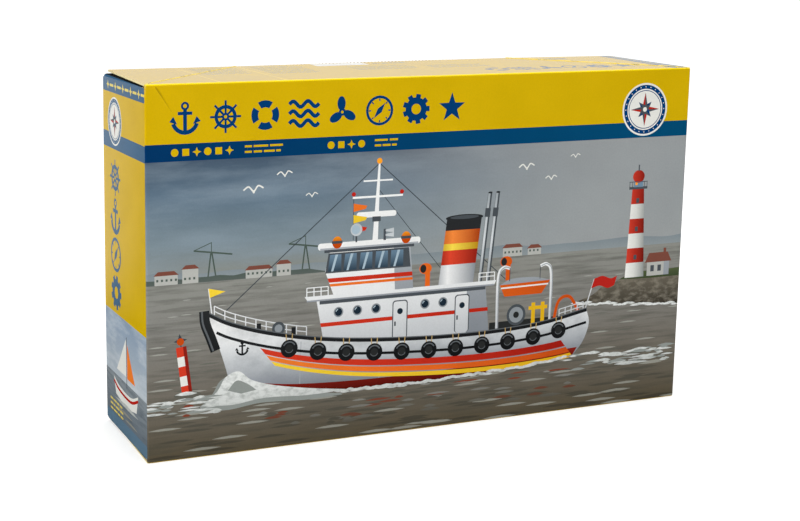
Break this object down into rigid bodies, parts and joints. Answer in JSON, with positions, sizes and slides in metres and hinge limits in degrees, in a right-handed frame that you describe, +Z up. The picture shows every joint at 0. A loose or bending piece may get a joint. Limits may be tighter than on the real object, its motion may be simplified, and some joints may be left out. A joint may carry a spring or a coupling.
{
  "type": "model kit carton",
  "caption": "Flat printed carton of thin fluted board, standing on its long wall: a lid and a tray with creased, glued corners that slide into each other.",
  "frame": {"origin": "on the surface the carton stands on, under the middle of the closed box", "axes": "+X along the long side, +Y from the picture panel to the tray's base, +Z up"},
  "size_m": [0.53, 0.125, 0.318],
  "materials": {
    "printed_board": "white lined fluted board, offset printed and gloss varnished outside, bare brown liner inside",
    "plain_board": "unprinted brown fluted board"
  },
  "bodies": {
    "tray": {"tray_base_panel": "plain_board", "tray_upper_wall_middle": "plain_board", "tray_upper_wall_left_corner": "plain_board", "tray_upper_wall_right_corner": "plain_board", "tray_upper_left_glue_tab": "plain_board", "tray_upper_right_glue_tab": "plain_board", "tray_lower_wall_middle": "plain_board", "tray_lower_wall_left_corner": "plain_board", "tray_lower_wall_right_corner": "plain_board", "tray_lower_left_glue_tab": "plain_board", "tray_lower_right_glue_tab": "plain_board", "tray_left_end_wall": "plain_board", "tray_right_end_wall": "plain_board"},
    "lid": {"lid_picture_panel": "printed_board", "lid_upper_wall_middle": "printed_board", "lid_upper_wall_left_corner": "printed_board", "lid_upper_wall_right_corner": "printed_board", "lid_upper_left_glue_tab": "printed_board", "lid_upper_right_glue_tab": "printed_board", "lid_lower_wall_middle": "printed_board", "lid_lower_wall_left_corner": "printed_board", "lid_lower_wall_right_corner": "printed_board", "lid_lower_left_glue_tab": "printed_board", "lid_lower_right_glue_tab": "printed_board", "lid_left_end_wall": "printed_board", "lid_right_end_wall": "printed_board"}
  },
  "joints": [
    {"name": "lid_pull", "type": "slide", "parent": "tray", "child": "lid", "axis": [0, -1, 0], "range_m": [0, 0.14]}
  ]
}
